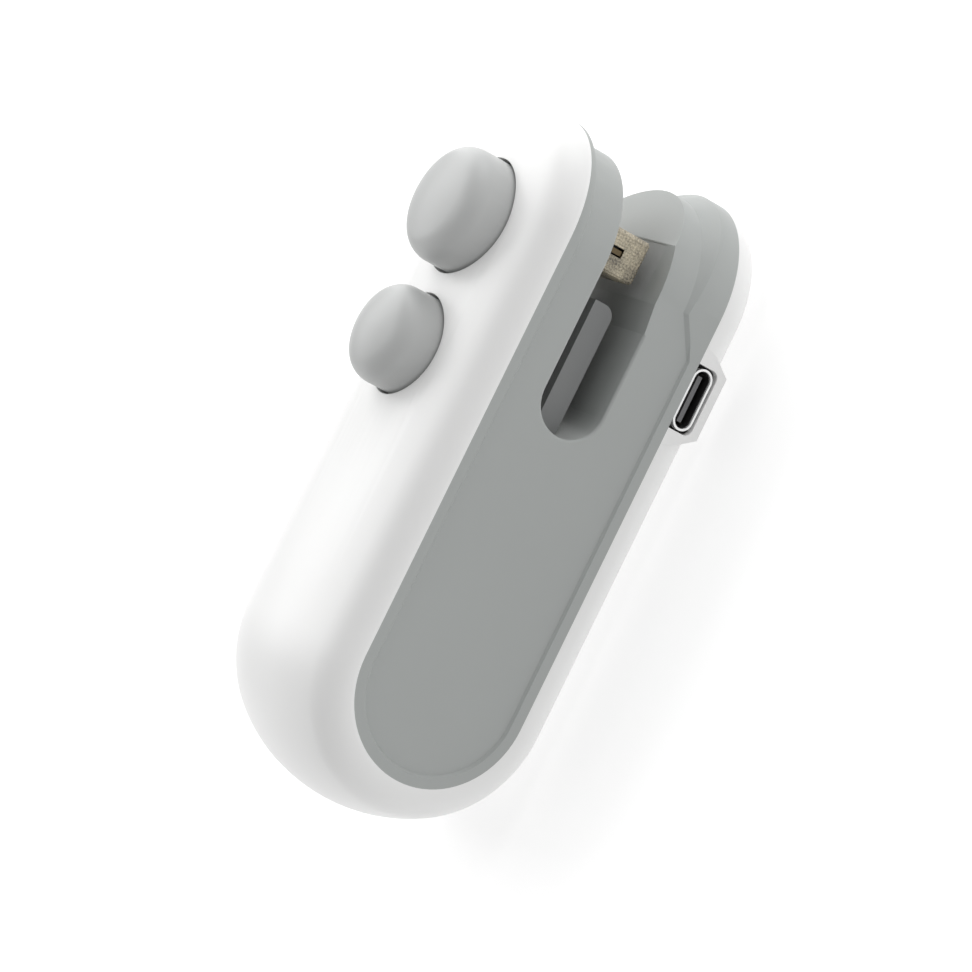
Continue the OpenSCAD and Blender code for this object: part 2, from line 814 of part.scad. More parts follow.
// Twelve contacts on each face of the tongue
module usb_contacts() {
    pitch = 0.5;
    color(copper) for (face = [-1, 1]) for (i = [0 : 11])
        translate([socket_x + (i - 5.5) * pitch, socket_y0 + 3.4, socket_z + face * 0.39])
            cube([0.25, 3.6, 0.08], center = true);
}

// Rubber frame that fills the notch round the socket, set back from the shell's face
module usb_gasket() {
    frame_y = -half_w + 1.1;
    color(black) difference() {
        translate([0, frame_y + 1.6, 0]) rotate([90, 0, 0]) linear_extrude(1.6) notch_2d(0.02);
        translate([socket_x, frame_y - eps, socket_z]) rotate([-90, 0, 0])
            linear_extrude(4) socket_2d(-0.02);
    }
}

module battery_cell() {
    color(steel) translate([cell_x0, 0, 0]) rotate([0, 90, 0]) {
        cylinder(r = cell_r, h = cell_l - 1);
        cylinder(r = 3, h = cell_l);
    }
}

module battery_wrap() {
    color(wrap_blue) translate([cell_x0, 0, 0]) rotate([0, 90, 0]) difference() {
        translate([0, 0, 0.2]) cylinder(r = cell_r + wrap_t, h = cell_l - 1.4);
        cylinder(r = cell_r, h = cell_l);
    }
}

// Welded nickel tabs at the two ends of the cell, with wires down to the board
module battery_tabs() {
    end_x = [cell_x0 - 0.22, cell_x0 + cell_l + 0.02];
    tab_low = -10.6;
    wire_y = 3;
    color(steel) for (x = end_x) span_box([x, -3.6, tab_low], [x + 0.2, 3.6, 3]);
    color([0.65, 0.10, 0.08]) translate([end_x[1] + 0.1, wire_y, board_top + 0.02])
        cylinder(r = 0.5, h = tab_low - board_top - 0.02);
    color(black) wire([
        [end_x[0] + 0.1, wire_y, tab_low], [end_x[0] + 0.1, wire_y, tab_low - 0.6],
        [board_x0 + 1, wire_y, tab_low - 0.6], [board_x0 + 1, wire_y, board_top + 0.02]
    ], 0.5);
}

// Foam strips that hold the cell between the covers
module battery_foam() {
    color([0.15, 0.15, 0.16]) for (side = [-1, 1]) for (x = [-36, -14])
        span_box(
            [x, side > 0 ? cell_r + wrap_t + 0.02 : -cover_y + 0.02, -3],
            [x + 6, side > 0 ? cover_y - 0.02 : -cell_r - wrap_t - 0.02, 3]
        );
}

// Wire as straight runs with round bends
module wire(points, r) {
    for (i = [0 : len(points) - 2]) {
        step = points[i + 1] - points[i];
        length = norm(step);
        tilt = acos(step[2] / length);
        heading = atan2(step[1], step[0]);
        translate(points[i]) rotate([0, tilt, heading]) cylinder(r = r, h = length);
        if (i > 0) translate(points[i]) sphere(r = r);
    }
}

// Leads from the board, up past the bottom of the mouth and along the front jaw
module heater_leads() {
    color([0.70, 0.12, 0.10]) for (side = [-1, 1]) wire([
        [lead_x, side * lead_y, board_top + 0.02],
        [lead_x, side * lead_y, chassis_top + 0.9],
        [22, side * lead_y, chassis_top + 0.9]
    ], lead_r);
}

// Flexible ends of the leads, up to the terminals on the heater carriage
module heater_pigtails() {
    color([0.70, 0.12, 0.10]) for (side = [-1, 1]) wire([
        [22.6, side * lead_y, chassis_top + 0.6],
        [head_x0 - 0.6, side * (lead_y - 1.4), head_z + head_t / 2]
    ], pigtail_r);
}

// ---------------------------------------------------------------- the assembly

module lifted() {
    translate([0, 0, mid_z]) children();
}

lifted() outer_shell();
lifted() near_cover();
lifted() far_cover();
lifted() cover_screws();
lifted() front_chassis();
lifted() chassis_screws();
lifted() guard_bar();
lifted() seal_pad();
lifted() main_board();
lifted() board_chips();
lifted() power_inductor();
lifted() status_led();
lifted() board_screws();
lifted() usb_shell();
lifted() usb_tongue();
lifted() usb_contacts();
lifted() usb_gasket();
lifted() battery_cell();
lifted() battery_wrap();
lifted() battery_tabs();
lifted() battery_foam();
lifted() heater_leads();
lifted() heater_pigtails();
lifted() switch_body();
lifted() switch_plunger();
lifted() seal_button();
lifted() heater_carriage();
lifted() carriage_screw();
lifted() heater_cushion();
lifted() heating_strip();
lifted() heater_cloth();
lifted() seal_springs();
lifted() cutter_button();
lifted() blade_holder();
lifted() holder_screw();
lifted() cutter_blade();
lifted() cutter_springs();
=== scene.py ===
"""Looks of the handheld bag heat sealer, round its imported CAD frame. Metres, +Z out of the button side."""

import json
import math

import bpy
from mathutils import Matrix, Vector


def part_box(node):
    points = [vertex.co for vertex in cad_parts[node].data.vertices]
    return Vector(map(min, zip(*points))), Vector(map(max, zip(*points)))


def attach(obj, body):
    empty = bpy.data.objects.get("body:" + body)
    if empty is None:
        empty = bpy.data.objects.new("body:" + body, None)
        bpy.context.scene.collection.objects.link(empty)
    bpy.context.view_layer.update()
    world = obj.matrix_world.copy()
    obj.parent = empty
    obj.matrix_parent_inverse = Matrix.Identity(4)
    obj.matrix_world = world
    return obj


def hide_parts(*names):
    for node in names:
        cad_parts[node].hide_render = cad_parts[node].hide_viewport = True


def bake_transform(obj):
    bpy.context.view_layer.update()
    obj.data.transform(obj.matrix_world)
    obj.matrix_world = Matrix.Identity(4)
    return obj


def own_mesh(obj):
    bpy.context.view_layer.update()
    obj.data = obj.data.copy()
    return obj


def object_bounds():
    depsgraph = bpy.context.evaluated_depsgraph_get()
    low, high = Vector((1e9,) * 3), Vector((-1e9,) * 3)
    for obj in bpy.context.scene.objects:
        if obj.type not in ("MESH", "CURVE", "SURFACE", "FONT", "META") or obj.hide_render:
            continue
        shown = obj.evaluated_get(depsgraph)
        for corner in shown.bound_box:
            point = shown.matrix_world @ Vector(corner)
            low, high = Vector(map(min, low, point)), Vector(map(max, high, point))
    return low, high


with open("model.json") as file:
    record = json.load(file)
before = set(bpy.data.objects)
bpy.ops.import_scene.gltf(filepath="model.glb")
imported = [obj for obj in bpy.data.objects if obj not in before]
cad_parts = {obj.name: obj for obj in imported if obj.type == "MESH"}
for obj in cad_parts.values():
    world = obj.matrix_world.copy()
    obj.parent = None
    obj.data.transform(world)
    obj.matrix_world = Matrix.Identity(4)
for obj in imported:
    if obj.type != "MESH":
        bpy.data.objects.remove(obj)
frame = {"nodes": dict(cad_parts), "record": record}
cad_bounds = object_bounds()

MM = 0.001
X, Y, Z = Vector((1, 0, 0)), Vector((0, 1, 0)), Vector((0, 0, 1))
NODES = frame["nodes"]
CAD_LOW, CAD_HIGH = cad_bounds

# Height of the body's middle plane above the flat of its back
MID_Z = 19.3 * MM


# ---------------------------------------------------------------- camera

CAMERA_DISTANCE = 0.52325
CAMERA_HEIGHT_ANGLE = math.radians(29.02)
CAMERA_LEAN = -0.039
CAMERA_TURN = math.radians(26.13)
CAMERA_LENS = 143.45
CAMERA_SHIFT = (0.0006, -0.0070)


def add_camera():
    """Camera on the socket's side, above the middle plane, turned so that the body stands and leans right."""
    centre = Vector(((CAD_LOW.x + CAD_HIGH.x) / 2, 0, MID_Z))
    upright = math.sqrt(1 - CAMERA_LEAN**2)
    towards_eye = Vector((
        CAMERA_LEAN,
        -math.cos(CAMERA_HEIGHT_ANGLE) * upright,
        math.sin(CAMERA_HEIGHT_ANGLE) * upright,
    ))
    along = (X - CAMERA_LEAN * towards_eye).normalized()
    across = (-towards_eye).cross(along)
    right = across * math.cos(CAMERA_TURN) + along * math.sin(CAMERA_TURN)
    up = along * math.cos(CAMERA_TURN) - across * math.sin(CAMERA_TURN)
    data = bpy.data.cameras.new("camera")
    data.lens = CAMERA_LENS
    data.sensor_width = 36
    data.shift_x, data.shift_y = CAMERA_SHIFT
    data.clip_start, data.clip_end = 0.01, 20
    camera = bpy.data.objects.new("camera", data)
    camera.matrix_world = Matrix.Translation(centre + towards_eye * CAMERA_DISTANCE) @ Matrix(
        (right, up, towards_eye)
    ).transposed().to_4x4()
    bpy.context.scene.collection.objects.link(camera)
    bpy.context.scene.camera = camera


add_camera()


# ---------------------------------------------------------------- light and floor

# Soft lamps all round: name, degrees from the socket's side towards the tips, degrees above the floor, watts
LAMPS = (
    ("top_lamp", 0, 90, 1.15),
    ("near_tip_lamp", 45, 12, 0.6),
    ("tip_lamp", 90, 12, 1.6),
    ("far_tip_low_lamp", 135, 12, 1.5),
    ("far_tip_lamp", 135, 45, 1.6),
    ("far_lamp", 180, 45, 1.6),
    ("far_bottom_lamp", 225, 12, 0.6),
)
LAMP_DISTANCE = 0.75
LAMP_SIZE = 0.5
SURROUND_STRENGTH = 0.43
FLOOR_RADIUS = 3
FLOOR_GLOW = 0.55


def add_lamp(name, heading, height, power):
    """Soft square lamp aimed at the middle of the body."""
    heading, height = math.radians(heading), math.radians(height)
    outward = Vector((
        math.sin(heading) * math.cos(height),
        -math.cos(heading) * math.cos(height),
        math.sin(height),
    ))
    data = bpy.data.lights.new(name, "AREA")
    data.shape = "SQUARE"
    data.size = LAMP_SIZE
    data.energy = power
    lamp = bpy.data.objects.new(name, data)
    lamp.location = Vector((0, 0, MID_Z)) + outward * LAMP_DISTANCE
    lamp.rotation_euler = (-outward).to_track_quat("-Z", "Y").to_euler()
    bpy.context.scene.collection.objects.link(lamp)


def add_studio():
    """White surround, soft lamps and a pale floor under the body."""
    scene = bpy.context.scene
    world = bpy.data.worlds.new("studio")
    scene.world = world
    world.use_nodes = True
    surround = world.node_tree.nodes["Background"].inputs
    surround["Color"].default_value = (1, 1, 1, 1)
    surround["Strength"].default_value = SURROUND_STRENGTH
    for lamp in LAMPS:
        add_lamp(*lamp)
    bpy.ops.mesh.primitive_circle_add(vertices=96, radius=FLOOR_RADIUS, fill_type="NGON")
    floor = bpy.context.object
    floor.name = "floor"
    floor.data.materials.append(floor_paint())
    scene.view_settings.view_transform = "Standard"
    scene.view_settings.look = "None"


# ---------------------------------------------------------------- materials


class Paint:
    """A Principled material under construction, with short calls for the nodes that it needs."""

    def __init__(self, name, colour, roughness, **sockets):
        self.material = bpy.data.materials.new(name)
        self.material.use_nodes = True
        self.tree = self.material.node_tree
        self.shader = self.tree.nodes["Principled BSDF"]
        self.colour = colour
        self.shader.inputs["Base Color"].default_value = (*colour, 1)
        self.shader.inputs["Roughness"].default_value = roughness
        for socket, value in sockets.items():
            self.shader.inputs[socket.replace("_", " ")].default_value = value
        self.place = self.node("ShaderNodeTexCoord").outputs["Object"]

    def node(self, kind, inputs=None, **settings):
        """Adds a node, with its settings, and links or sets its inputs."""
        made = self.tree.nodes.new(kind)
        for setting, value in settings.items():
            setattr(made, setting, value)
        for socket, value in (inputs or {}).items():
            if isinstance(value, bpy.types.NodeSocket):
                self.tree.links.new(value, made.inputs[socket])
            else:
                made.inputs[socket].default_value = value
        return made

    def noise(self, size, detail=2.0, stretch=(1, 1, 1)):
        """Noise whose features are about size metres across."""
        mapped = self.node("ShaderNodeMapping", {"Vector": self.place, "Scale": stretch})
        return self.node(
            "ShaderNodeTexNoise", {"Vector": mapped.outputs[0], "Scale": 1 / size, "Detail": detail}
        ).outputs["Fac"]

    def cells(self, size):
        """Distance from the middle of round cells about size metres across."""
        return self.node(
            "ShaderNodeTexVoronoi", {"Vector": self.place, "Scale": 1 / size}
        ).outputs["Distance"]

    def between(self, amount, low, high):
        """Turns an amount from 0 to 1 into a value from low to high."""
        return self.node(
            "ShaderNodeMapRange", {"Value": amount, "To Min": low, "To Max": high}
        ).outputs[0]

    def shades(self, amount, dark, light):
        """Base colour that runs from dark to light times the paint's colour."""
        ends = [(*[c * k for c in self.colour], 1) for k in (dark, light)]
        mix = self.node("ShaderNodeMix", data_type="RGBA")
        self.tree.links.new(amount, mix.inputs["Factor"])
        for socket, end in zip(("A", "B"), ends):
            [i for i in mix.inputs if i.name == socket and i.type == "RGBA"][0].default_value = end
        blended = [o for o in mix.outputs if o.type == "RGBA"][0]
        self.tree.links.new(blended, self.shader.inputs["Base Color"])

    def rough(self, amount, low, high):
        """Roughness that runs from low to high."""
        self.tree.links.new(self.between(amount, low, high), self.shader.inputs["Roughness"])

    def bump(self, height, depth, strength=1.0, under=None):
        """Surface relief of the given depth in metres."""
        inputs = {"Height": height, "Distance": depth, "Strength": strength}
        if under is not None:
            inputs["Normal"] = under
        normal = self.node("ShaderNodeBump", inputs).outputs[0]
        self.tree.links.new(normal, self.shader.inputs["Normal"])
        return normal


def moulded(name, colour, roughness, grain=0.12 * MM, relief=0.004 * MM, flow=0.015):
    """Injection-moulded plastic: fine spark-eroded grain over slow flow marks, which also shift its tone."""
    paint = Paint(name, colour, roughness, Specular_IOR_Level=0.5)
    slow = paint.noise(14 * MM, 3, (1, 1.6, 1.6))
    fine = paint.noise(grain, 3)
    paint.shades(slow, 1 - flow, 1 + flow)
    paint.rough(fine, roughness - 0.05, roughness + 0.05)
    wave = paint.bump(slow, 0.05 * MM, 0.25)
    paint.bump(fine, relief, 1.0, wave)
    return paint.material


def metal(name, colour, roughness, lines=(1, 1, 1)):
    """Metal with a fine drawn or ground grain, which lines stretches along one axis, and faint staining."""
    paint = Paint(name, colour, roughness, Metallic=1.0)
    grain = paint.noise(0.05 * MM, 2, lines)
    stain = paint.noise(2.5 * MM, 3)
    paint.shades(stain, 0.86, 1.06)
    paint.rough(grain, roughness - 0.08, roughness + 0.12)
    paint.bump(grain, 0.003 * MM, 0.8)
    return paint.material


def rubber(name, colour, roughness=0.75, grain=0.2 * MM, relief=0.008 * MM):
    """Matt silicone or rubber with a dusty, slightly uneven skin."""
    paint = Paint(name, colour, roughness, Specular_IOR_Level=0.3, Sheen_Weight=0.15)
    dust = paint.noise(1.8 * MM, 4)
    fine = paint.noise(grain, 3)
    paint.shades(dust, 0.9, 1.12)
    paint.rough(fine, roughness - 0.08, roughness + 0.1)
    paint.bump(fine, relief)
    return paint.material


def foam(name, colour):
    """Open-cell foam, with round pits of one size, darker towards their middles: painted shade in the pits.
    """
    paint = Paint(name, colour, 0.95, Specular_IOR_Level=0.15)
    cells = paint.cells(0.45 * MM)
    # Painted shade: each pit is darkest at its deepest point
    paint.shades(cells, 0.45, 1.3)
    paint.bump(cells, 0.15 * MM)
    return paint.material


def board_paint():
    """Green solder mask over copper tracks, which show as lighter, raised lines."""
    paint = Paint("board_fr4", (0.012, 0.075, 0.030), 0.35, Coat_Weight=0.4)
    tracks = paint.node(
        "ShaderNodeTexBrick",
        {
            "Vector": paint.place, "Scale": 900.0, "Mortar Size": 0.08,
            "Brick Width": 3.0, "Row Height": 0.9,
            "Color1": (0, 0, 0, 1), "Color2": (0, 0, 0, 1), "Mortar": (1, 1, 1, 1),
        },
    ).outputs["Fac"]
    paint.shades(tracks, 1.0, 2.1)
    raised = paint.bump(tracks, 0.03 * MM)
    paint.bump(paint.noise(0.15 * MM), 0.004 * MM, 1.0, raised)
    return paint.material


def glass_cloth():
    """Coated woven glass: speckle of painted glints on the thread tops and painted shade in the weave's gaps,
    darker scorched patches and a clear, shiny coat.
    """
    paint = Paint("heater_cloth", (0.37, 0.325, 0.235), 0.42, Specular_IOR_Level=0.6, Coat_Weight=0.6)
    glint_shade_speckle = paint.noise(0.26 * MM, 3)
    scorch = paint.noise(3.2 * MM, 3)
    glint_shade_and_scorch = paint.node("ShaderNodeMath", {0: glint_shade_speckle, 1: scorch}, operation="ADD").outputs[0]
    glint_shade_scorch_mean = paint.node("ShaderNodeMath", {0: glint_shade_and_scorch, 1: 0.5}, operation="MULTIPLY").outputs[0]
    # Painted light: the speckle's light and dark spots stand in for glints on the threads and shade in the
    # gaps of the weave
    paint.shades(paint.between(glint_shade_scorch_mean, -1.3, 2.3), 0.25, 1.75)
    paint.rough(glint_shade_speckle, 0.28, 0.6)
    paint.bump(paint.noise(0.06 * MM, 2), 0.006 * MM)
    return paint.material


def socket_paint():
    """Bright plated shell of the socket, with a fine rolled grain."""
    paint = Paint("socket_steel", (0.95, 0.95, 0.95), 0.3, Metallic=0.45)
    grain = paint.noise(0.06 * MM, 2, (1, 0.1, 1))
    paint.shades(grain, 0.94, 1.04)
    paint.rough(grain, 0.22, 0.36)
    paint.bump(grain, 0.002 * MM)
    return paint.material


def strip_paint():
    """Heating strip: resistance alloy, browned by heat in uneven patches, on a base colour that is darkened
    by painted shade from the slot in the cloth.
    """
    # The dark base colour holds painted shade from inside the cloth's slot
    paint = Paint("heater_alloy", (0.13, 0.10, 0.06), 0.4, Metallic=1.0)
    tint = paint.noise(4 * MM, 2, (1, 1, 3))
    paint.shades(tint, 0.6, 1.25)
    paint.rough(tint, 0.3, 0.5)
    paint.bump(paint.noise(0.08 * MM, 2, (1, 0.15, 1)), 0.003 * MM)
    return paint.material


def floor_paint():
    """Pale floor that glows, so that the shadow on it stays faint."""
    paint = Paint("floor_paint", (0.55, 0.55, 0.55), 0.6)
    paint.shader.inputs["Emission Color"].default_value = (1, 1, 1, 1)
    paint.shader.inputs["Emission Strength"].default_value = FLOOR_GLOW
    slow = paint.noise(0.4, 2)
    paint.shades(slow, 0.99, 1.01)
    return paint.material


def all_paints():
    """Every finish by name: one for each slot of the record, and three more."""
    return {
        "shell_white": moulded("shell_white", (0.83, 0.83, 0.825), 0.38),
        "cover_grey": moulded("cover_grey", (0.372, 0.388, 0.380), 0.45),
        "capacitor_tan": moulded("capacitor_tan", (0.32, 0.20, 0.10), 0.4, 0.1 * MM, 0.003 * MM),
        "tongue_grey": moulded("tongue_grey", (0.16, 0.16, 0.165), 0.35, 0.08 * MM, 0.003 * MM),
        # button_grey is a lighter copy of the cover grey: painted light, for the brightly lit tops of the
        # buttons
        "button_grey": moulded("button_grey", (0.460, 0.468, 0.464), 0.40),
        # guard_grey is a darker copy of the cover grey: painted shade, for the guard bar that stands in
        # shadow inside the jaws' slot
        "guard_grey": moulded("guard_grey", (0.22, 0.225, 0.225), 0.5),
        "chassis_plastic": moulded("chassis_plastic", (0.022, 0.022, 0.024), 0.5, 0.18 * MM, 0.006 * MM),
        "screw_steel": metal("screw_steel", (0.58, 0.59, 0.60), 0.35),
        "pad_silicone": rubber("pad_silicone", (0.39, 0.40, 0.395), 0.6, 0.12 * MM, 0.004 * MM),
        "cushion_silicone": foam("cushion_silicone", (0.33, 0.07, 0.04)),
        "board_fr4": board_paint(),
        "chip_black": moulded("chip_black", (0.018, 0.018, 0.019), 0.55, 0.08 * MM, 0.005 * MM),
        "led_lens": moulded("led_lens", (0.75, 0.76, 0.62), 0.18, 0.3 * MM, 0.002 * MM),
        "socket_steel": socket_paint(),
        "contact_gold": metal("contact_gold", (0.85, 0.60, 0.24), 0.22, (1, 0.1, 1)),
        "gasket_rubber": rubber("gasket_rubber", (0.012, 0.012, 0.012)),
        "cell_metal": metal("cell_metal", (0.62, 0.63, 0.64), 0.28, (0.08, 1, 1)),
        "wrap_pvc": moulded("wrap_pvc", (0.022, 0.075, 0.23), 0.25, 0.5 * MM, 0.003 * MM, 0.05),
        "tab_nickel": metal("tab_nickel", (0.66, 0.64, 0.58), 0.3, (1, 1, 0.15)),
        "foam_black": foam("foam_black", (0.02, 0.02, 0.022)),
        "lead_red": rubber("lead_red", (0.42, 0.02, 0.014), 0.5),
        "plunger_red": moulded("plunger_red", (0.45, 0.02, 0.015), 0.35),
        "heater_alloy": strip_paint(),
        "heater_cloth": glass_cloth(),
        "spring_steel": metal("spring_steel", (0.52, 0.53, 0.55), 0.25),
        "blade_steel": metal("blade_steel", (0.66, 0.67, 0.69), 0.16, (1, 1, 0.06)),
    }


WELD_DISTANCE = 0.0005 * MM
# Rounded edges: node, radius, least turn of an edge in degrees
EDGES = (
    ("outer_shell", 0.1 * MM, 35),
    ("near_cover", 0.35 * MM, 15),
    ("far_cover", 0.35 * MM, 15),
    ("seal_button", 0.15 * MM, 35),
    ("cutter_button", 0.15 * MM, 35),
    ("guard_bar", 0.15 * MM, 35),
    ("seal_pad", 0.05 * MM, 35),
)


def dress(node, material):
    """Gives a CAD node its material."""
    slots = NODES[node].data.materials
    slots.clear()
    slots.append(material)


def soften(node, radius, least_turn):
    """Rounds a moulded part's edges that turn by at least so many degrees, so that they catch the light."""
    weld = NODES[node].modifiers.new("weld", "WELD")
    weld.merge_threshold = WELD_DISTANCE
    edges = NODES[node].modifiers.new("edges", "BEVEL")
    edges.width = radius
    edges.segments = 3
    edges.limit_method = "ANGLE"
    edges.angle_limit = math.radians(least_turn)
    edges.use_clamp_overlap = True
    edges.harden_normals = True


# ---------------------------------------------------------------- mesh helpers


def new_piece(name, points, faces, finish, smooth=True):
    """Mesh object with one finish."""
    mesh = bpy.data.meshes.new(name)
    mesh.from_pydata([tuple(p) for p in points], [], faces)
    mesh.validate()
    mesh.update()
    if smooth:
        mesh.shade_smooth()
    mesh.materials.append(PAINTS[finish])
    piece = bpy.data.objects.new(name, mesh)
    bpy.context.scene.collection.objects.link(piece)
    return piece


def add_tube(points, faces, path, radius, sides):
    """Appends a round tube with flat ends along a path to a piece's points and faces."""
    path = [Vector(p) for p in path]
    side = Y if abs((path[1] - path[0]).normalized().y) < 0.9 else X
    start = len(points)
    for i, centre in enumerate(path):
        ahead = (path[min(i + 1, len(path) - 1)] - path[max(i - 1, 0)]).normalized()
        side = (side - side.dot(ahead) * ahead).normalized()
        across = ahead.cross(side)
        for k in range(sides):
            turn = 2 * math.pi * k / sides
            points.append(centre + radius * (math.cos(turn) * side + math.sin(turn) * across))
    for i in range(len(path) - 1):
        for k in range(sides):
            a, b = start + i * sides + k, start + i * sides + (k + 1) % sides
            faces.append((a, b, b + sides, a + sides))
    faces.append(tuple(range(start + sides - 1, start - 1, -1)))
    last = start + (len(path) - 1) * sides
    faces.append(tuple(range(last, last + sides)))


PATH_STEPS = 10


def smooth_path(knots):
    """Points along a rounded curve through the knots, with a few steps between each two."""
    knots = [Vector(k) for k in knots]
    ends = [2 * knots[0] - knots[1]] + knots + [2 * knots[-1] - knots[-2]]
    path = []
    for a, b, c, d in zip(ends, ends[1:], ends[2:], ends[3:]):
        for i in range(PATH_STEPS):
            t = i / PATH_STEPS
            path.append(0.5 * (
                2 * b + (c - a) * t + (2 * a - 5 * b + 4 * c - d) * t**2
                + (3 * b - a - 3 * c + d) * t**3
            ))
    return path + [knots[-1]]


# ---------------------------------------------------------------- springs

WIRE_R = 0.2 * MM
SPRING_TURNS = 10
POINTS_PER_TURN = 20
CLOSED_PITCH = 2.1 * WIRE_R
COIL_CLEARANCE = 0.01 * MM


def coil(centre, low, high, radius):
    """Centre line of a compression spring, with a closed turn at each end."""
    path = []
    for i in range(SPRING_TURNS * POINTS_PER_TURN + 1):
        turn = i / POINTS_PER_TURN
        middle = (turn - 1) / (SPRING_TURNS - 2)
        if turn < 1:
            rise = turn * CLOSED_PITCH
        elif turn > SPRING_TURNS - 1:
            rise = (high - low) - (SPRING_TURNS - turn) * CLOSED_PITCH
        else:
            rise = CLOSED_PITCH + middle * (high - low - 2 * CLOSED_PITCH)
        path.append((
            centre[0] + radius * math.cos(2 * math.pi * turn),
            centre[1] + radius * math.sin(2 * math.pi * turn),
            low + rise,
        ))
    return path


def add_springs(node):
    """Two coil springs in the place of the node's plain tubes, squeezed by the button above them."""
    low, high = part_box(node)
    outer_r = (high.x - low.x) / 2
    centre_x = (high.x + low.x) / 2
    points, faces = [], []
    for side in (-1, 1):
        centre = (centre_x, side * (high.y - outer_r))
        path = coil(centre, low.z + WIRE_R, high.z - WIRE_R, outer_r - WIRE_R - COIL_CLEARANCE)
        add_tube(points, faces, path, WIRE_R, sides=8)
    springs = new_piece(node + "_coils", points, faces, "spring_steel")
    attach(springs, "housing")
    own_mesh(springs)
    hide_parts(node)


# ---------------------------------------------------------------- pigtails

PIGTAIL_R = 0.5 * MM
# How far the pigtails turn inwards
PIGTAIL_INSET = 1.4 * MM
PIGTAIL_END_GAP = 0.3 * MM
PIGTAIL_SAG = Vector((0.3 * MM, 0, -0.35 * MM))


def add_pigtails():
    """Slack ends of the leads, between the front jaw and the heater carriage."""
    low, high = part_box("heater_pigtails")
    points, faces = [], []
    for side in (-1, 1):
        outer_y = side * (high.y - PIGTAIL_R)
        inner_y = side * (high.y - PIGTAIL_R - PIGTAIL_INSET)
        start = Vector((low.x, outer_y, low.z + PIGTAIL_R))
        straight = start + Vector((2 * PIGTAIL_R, 0, 0))
        end = Vector((high.x - PIGTAIL_END_GAP, inner_y, high.z - PIGTAIL_R))
        bend = straight.lerp(end, 0.5) + PIGTAIL_SAG
        path = smooth_path([start, straight, bend, end])
        add_tube(points, faces, path, PIGTAIL_R, sides=12)
    pigtails = new_piece("pigtail_wires", points, faces, "lead_red")
    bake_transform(pigtails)
    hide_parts("heater_pigtails")


# ---------------------------------------------------------------- woven cloth

YARN_PITCH = 0.44 * MM
YARN_HEIGHT = 0.17 * MM
YARN_STEPS = 4
# Power of a yarn's sine profile: below 1 it is fuller than a sine
YARN_FULLNESS = 0.6
CLOTH_CORNER_R = 0.35 * MM
CLOTH_SKIN = 0.1 * MM
# Places on neighbouring sides that are closer than this are one
CLOTH_JOIN = 0.002 * MM
SLOT_HALF_W = 0.65 * MM
SLOT_LOW, SLOT_HIGH = MID_Z + 2.1 * MM, MID_Z + 4.6 * MM


def weave(u, v):
    """Height, from 0 to 1, of a plain weave at a point given in yarn pitches."""
    i, j = math.floor(u), math.floor(v)
    warp = math.sin(math.pi * (u - i)) ** YARN_FULLNESS * (0.5 + 0.5 * math.sin(math.pi * (v + i)))
    weft = math.sin(math.pi * (v - j)) ** YARN_FULLNESS * (0.5 - 0.5 * math.sin(math.pi * (u + j)))
    return max(0.0, warp, weft)


def faces_out(corner, along, up, width, length, centre):
    """True if along x up points away from the centre."""
    middle = corner + along * width / 2 + up * length / 2
    return along.cross(up).dot(middle - centre) > 0


def cloth_grid(corner, along, up, width, length):
    """Rows of places on a flat side: point, distances along and up, and share of the weave kept there."""
    columns = round(width / YARN_PITCH * YARN_STEPS)
    rows = round(length / YARN_PITCH * YARN_STEPS)
    grid = []
    for row in range(rows + 1):
        line = []
        for column in range(columns + 1):
            u, v = width * column / columns, length * row / rows
            edge = min(u, width - u, v, length - v if up is not Z else v)
            line.append((corner + along * u + up * v, u, v, min(1.0, edge / (0.5 * YARN_PITCH))))
        grid.append(line)
    return grid


def cloth_mesh(low, high):
    """Points and faces of a woven box with rounded edges, open at its top, with a slot in each end."""
    inner_low = low + Vector((1, 1, 1)) * CLOTH_CORNER_R
    inner_high = high - Vector((1, 1, 0)) * CLOTH_CORNER_R
    centre = (low + high) / 2
    sizes = high - low
    # corner of each side, its two directions and its lengths along them
    sides = (
        (low, X, Z, sizes.x, sizes.z),
        (low + Y * sizes.y, X, Z, sizes.x, sizes.z),
        (low, Y, Z, sizes.y, sizes.z),
        (low + X * sizes.x, Y, Z, sizes.y, sizes.z),
        (low, X, Y, sizes.x, sizes.y),
    )
    points, faces, seen = [], [], {}

    def vertex(place, u, v, weave_share):
        """Index of the point above a place, which sides that meet there share."""
        key = tuple(round(c / CLOTH_JOIN) for c in place)
        if key not in seen:
            core = Vector((
                min(max(place.x, inner_low.x), inner_high.x),
                min(max(place.y, inner_low.y), inner_high.y),
                max(place.z, inner_low.z),
            ))
            height = YARN_HEIGHT * weave(u / YARN_PITCH, v / YARN_PITCH) * weave_share
            points.append(core + (place - core).normalized() * (CLOTH_CORNER_R + height))
            seen[key] = len(points) - 1
        return seen[key]

    for corner, along, up, width, length in sides:
        grid = cloth_grid(corner, along, up, width, length)
        outward = faces_out(corner, along, up, width, length, centre)
        is_end = along is X and up is Z
        for lower, upper in zip(grid, grid[1:]):
            for ring in zip(lower, lower[1:], upper[1:], upper):
                middle = ring[0][0].lerp(ring[2][0], 0.5)
                if is_end and abs(middle.x - centre.x) < SLOT_HALF_W and SLOT_LOW < middle.z < SLOT_HIGH:
                    continue
                face = [vertex(*place) for place in ring]
                faces.append(tuple(face if outward else reversed(face)))
    return points, faces


